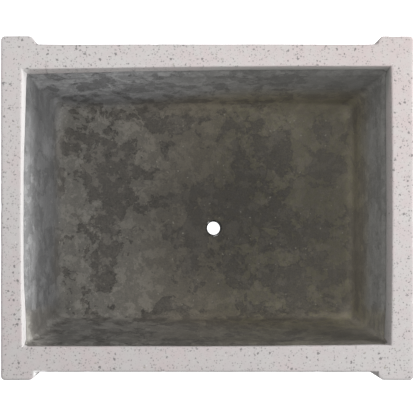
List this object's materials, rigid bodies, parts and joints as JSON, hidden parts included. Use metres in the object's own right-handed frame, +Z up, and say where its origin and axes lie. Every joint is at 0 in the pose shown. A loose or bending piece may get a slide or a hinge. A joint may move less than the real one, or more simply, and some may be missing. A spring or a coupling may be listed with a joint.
{
  "type": "bonsai pot",
  "caption": "Low rectangular terrazzo trough for bonsai, with square corner pilasters and feet, a broad flat rim, a dark brushed lining and a drain hole.",
  "frame": {"origin": "on the ground plane under the middle of the pot: the bottom centre of its bounding box", "axes": "+X along the long side, +Y to the rear across the width, +Z up"},
  "size_m": [0.48, 0.4, 0.18],
  "materials": {
    "terrazzo": "ground matt terrazzo, pale grey with small dark grey stone chips",
    "grey_cement": "rough cast cement",
    "dark_slurry": "brushed dark cement slurry, blotched, satin where it is dense",
    "black_pipe": "cut plastic pipe",
    "steel_wire": "drawn steel wire"
  },
  "bodies": {
    "root": {"terrazzo_facing": "terrazzo", "cement_core": "grey_cement", "slurry_lining": "dark_slurry", "drain_sleeve": "black_pipe", "hoop_low": "steel_wire", "hoop_middle": "steel_wire", "hoop_top": "steel_wire", "cross_stirrup_1": "steel_wire", "cross_stirrup_2": "steel_wire", "cross_stirrup_3": "steel_wire", "cross_stirrup_4": "steel_wire", "long_stirrup_1": "steel_wire", "long_stirrup_2": "steel_wire", "long_stirrup_3": "steel_wire"}
  },
  "joints": []
}
